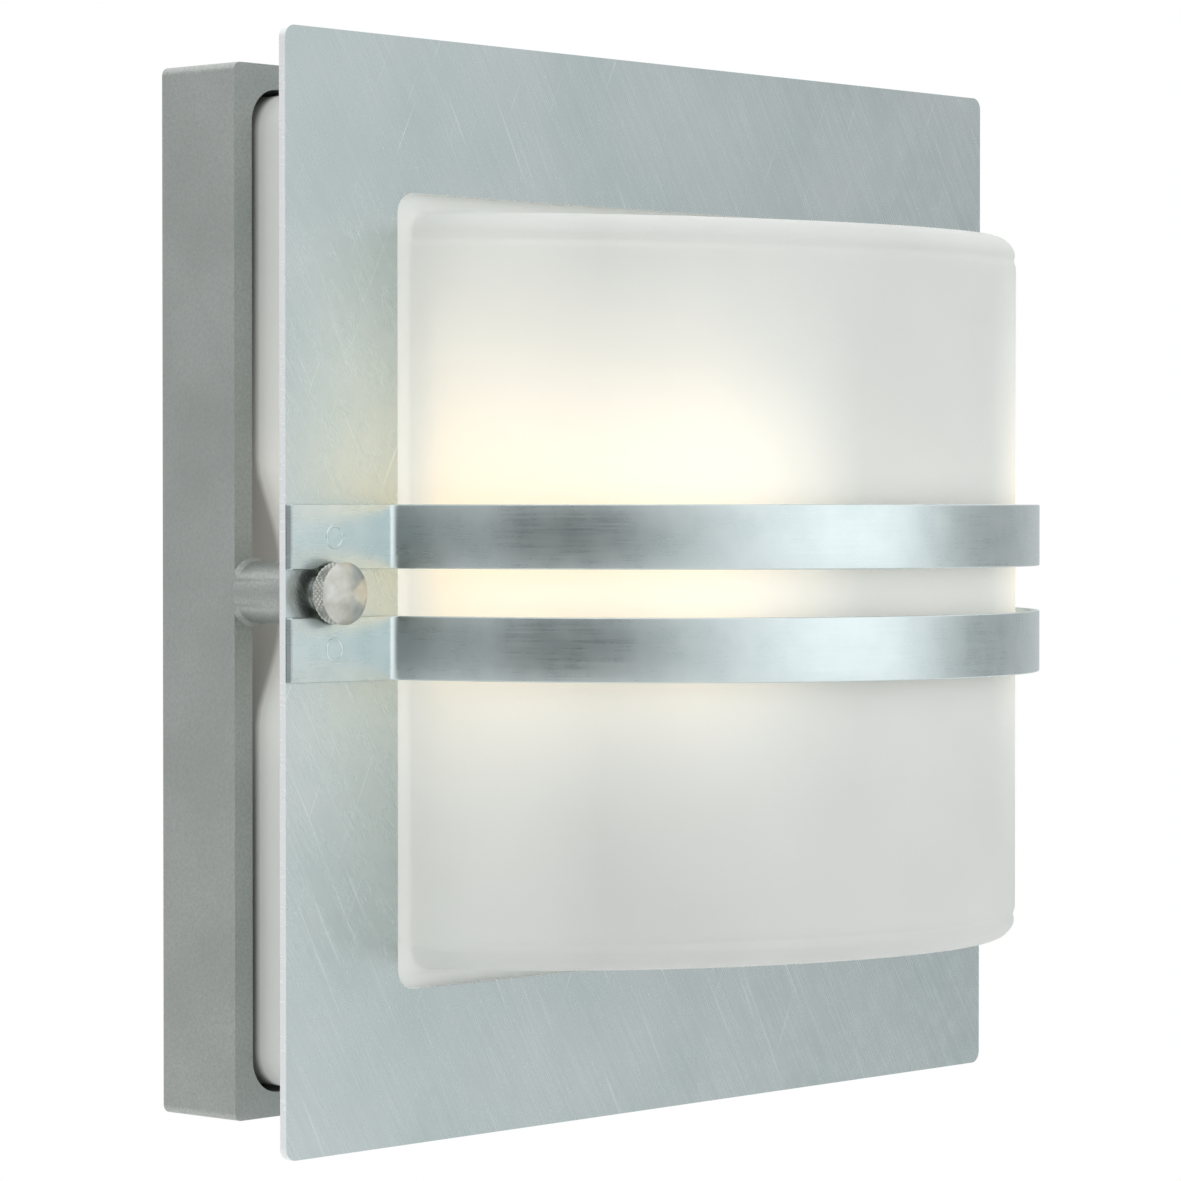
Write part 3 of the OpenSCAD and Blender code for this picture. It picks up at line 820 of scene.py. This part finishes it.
def head_rings(head_r, top):
    """Rings of the head: its back, the knurled rim, a chamfer and the domed face up to its top."""
    face_at = HEAD_OFF + KNURL_LEN + CHAMFER_LEN
    rise = top - face_at
    sphere_r = (FACE_R ** 2 + rise ** 2) / (2 * rise)
    back = [
        (NECK_R - 0.5 * MM, HEAD_OFF),
        (head_r - 0.9 * MM, HEAD_OFF),
        (head_r - 0.35 * MM, HEAD_OFF + 0.02 * MM),
    ]
    rim = [(head_r, out) for out in steps(HEAD_OFF + 0.15 * MM, HEAD_OFF + KNURL_LEN, 26)]
    chamfer = [
        (head_r - 0.35 * MM, face_at - 0.35 * MM),
        (FACE_R + 0.12 * MM, face_at - 0.06 * MM),
        (FACE_R - 0.1 * MM, face_at + 0.03 * MM),
    ]
    face = [
        (reach, face_at + math.sqrt(sphere_r ** 2 - reach ** 2) - (sphere_r - rise))
        for reach in steps(FACE_R - 0.25 * MM, 0.15 * MM, 12)
    ]
    return (
        turned(back, KNURL_COLUMNS)
        + turned(rim, KNURL_COLUMNS, knurl)
        + turned(chamfer + face, KNURL_COLUMNS)
    )


def screw_shell(node):
    """A knurled head with a slightly domed face, a plain neck and a threaded shank."""
    low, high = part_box(node)
    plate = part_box("front_plate")[0].y
    head_r = (high.z - low.z) / 2
    points, faces = combined(lofted(shank_rings(plate - high.y)), lofted(head_rings(head_r, plate - low.y)))
    centre_x = (low.x + high.x) / 2
    centre_z = (low.z + high.z) / 2
    return [(centre_x + x, plate - out, centre_z + z) for x, out, z in points], faces


# ---- stage ----

def studio_light():
    """World light: a broad soft front light, greyer to the sides, seen as plain white behind."""
    # Light level by direction, in degrees round from straight in front, positive to the right
    levels_around = [
        (-180, 0.5), (-150, 0.42), (-136, 0.34), (-118, 0.42), (-112, 0.64), (-105, 0.6), (-98, 0.34),
        (-90, 0.2), (-68, 0.19), (-56, 0.38), (-49, 0.56), (-37, 0.8), (-25, 1.04), (-13, 1.26), (0, 1.46),
        (27, 1.42), (35, 1.06), (43, 0.84), (52, 0.58), (62, 0.48), (78, 0.5), (92, 0.64), (115, 0.7),
        (150, 0.6), (180, 0.5),
    ]
    world = bpy.data.worlds.new("studio")
    world.use_nodes = True
    bpy.context.scene.world = world
    tree = world.node_tree
    tree.nodes.clear()

    def node(kind, operation=None):
        made = tree.nodes.new("ShaderNode" + kind)
        if operation:
            made.operation = operation
        return made

    direction = node("SeparateXYZ")
    tree.links.new(node("TexCoord").outputs["Generated"], direction.inputs[0])
    toward = node("Math", "MULTIPLY")
    toward.inputs[1].default_value = -1
    tree.links.new(direction.outputs["Y"], toward.inputs[0])
    azimuth = node("Math", "ARCTAN2")
    tree.links.new(direction.outputs["X"], azimuth.inputs[0])
    tree.links.new(toward.outputs[0], azimuth.inputs[1])
    share = node("MapRange")
    share.inputs["From Min"].default_value = -math.pi
    share.inputs["From Max"].default_value = math.pi
    tree.links.new(azimuth.outputs[0], share.inputs["Value"])
    ramp = node("ValToRGB")
    stops = ramp.color_ramp.elements
    for index, (degrees, level) in enumerate(levels_around):
        place = (degrees + 180) / 360
        stop = stops[index] if index < 2 else stops.new(place)
        stop.position = place
        stop.color = (level * 0.98, level, level * 1.005, 1)
    tree.links.new(share.outputs["Result"], ramp.inputs["Fac"])

    # Even light from above and below, which takes over between these two heights
    colour = ramp.outputs["Color"]
    for limit, full, level in ((0.16, 0.6, 1.3), (-0.16, -0.6, 1.1)):
        height = node("MapRange")
        height.inputs["From Min"].default_value = limit
        height.inputs["From Max"].default_value = full
        height.interpolation_type = "SMOOTHSTEP"
        tree.links.new(direction.outputs["Z"], height.inputs["Value"])
        mix = node("Mix")
        mix.data_type = "RGBA"
        tree.links.new(height.outputs["Result"], mix.inputs[0])
        tree.links.new(colour, mix.inputs[MIX_FIRST])
        mix.inputs[MIX_SECOND].default_value = (level, level, level, 1)
        colour = mix.outputs[MIX_RESULT]

    lit = node("Background")
    tree.links.new(colour, lit.inputs["Color"])
    white = node("Background")
    white.inputs["Color"].default_value = (1, 1, 1, 1)
    choice = node("MixShader")
    tree.links.new(node("LightPath").outputs["Is Camera Ray"], choice.inputs[0])
    tree.links.new(lit.outputs[0], choice.inputs[1])
    tree.links.new(white.outputs[0], choice.inputs[2])
    tree.links.new(choice.outputs[0], node("OutputWorld").inputs["Surface"])


def pale_floor():
    """A round plain floor below the lantern."""
    corners = 96
    rim = [
        (FLOOR_R * math.cos(2 * math.pi * i / corners), FLOOR_R * math.sin(2 * math.pi * i / corners))
        for i in range(corners)
    ]
    rings = [[(x, y, FLOOR_LEVEL - depth) for x, y in rim] for depth in (0, FLOOR_THICKNESS)]
    points, faces = lofted(rings)
    mesh = bpy.data.meshes.new("floor")
    mesh.from_pydata(points, [], faces)
    floor = bpy.data.objects.new("floor", mesh)
    bpy.context.scene.collection.objects.link(floor)
    floor.data.materials.append(plain_finish(
        "floor", (0.84, 0.84, 0.83), (0.87, 0.87, 0.86), 0.3, low=0.6, high=0.7, depth=0.1 * MM))


def photo_camera():
    """The camera, at the photograph's viewing angle."""
    camera = bpy.data.objects.new("camera", bpy.data.cameras.new("camera"))
    camera.location = CAMERA_PLACE
    camera.rotation_mode = "QUATERNION"
    camera.rotation_quaternion = CAMERA_HEADING.to_track_quat("-Z", "Y")
    camera.data.lens = CAMERA_LENS_MM
    camera.data.clip_start = 0.01
    bpy.context.scene.collection.objects.link(camera)
    bpy.context.scene.camera = camera


# ---- the lantern ----

photo_camera()
studio_light()
pale_floor()
bpy.context.scene.view_settings.view_transform = "Standard"

for row in frame["record"]["subparts"]:
    cad_node = frame["nodes"][row["node"]]
    cad_node.data.materials.clear()
    cad_node.data.materials.append(finish_for(row["material_slot"]))
    soften(cad_node, ROUNDED_EDGES.get(row["node"], SMALL_ROUNDED_EDGE))

piece("opal_glass", glass_shell(), "glass", "frosted_glass", "glass_diffuser", GLASS_SHARP_DEGREES)
for side in ("upper", "lower"):
    node_name = f"{side}_band"
    piece(f"{side}_guard_band", band_shell(node_name), "front_frame", "galvanised_band", node_name)
for side in ("left", "right"):
    node_name = f"{side}_thumb_screw"
    piece(f"{side}_knurled_screw", screw_shell(node_name), f"{side}_screw", "stainless", node_name)
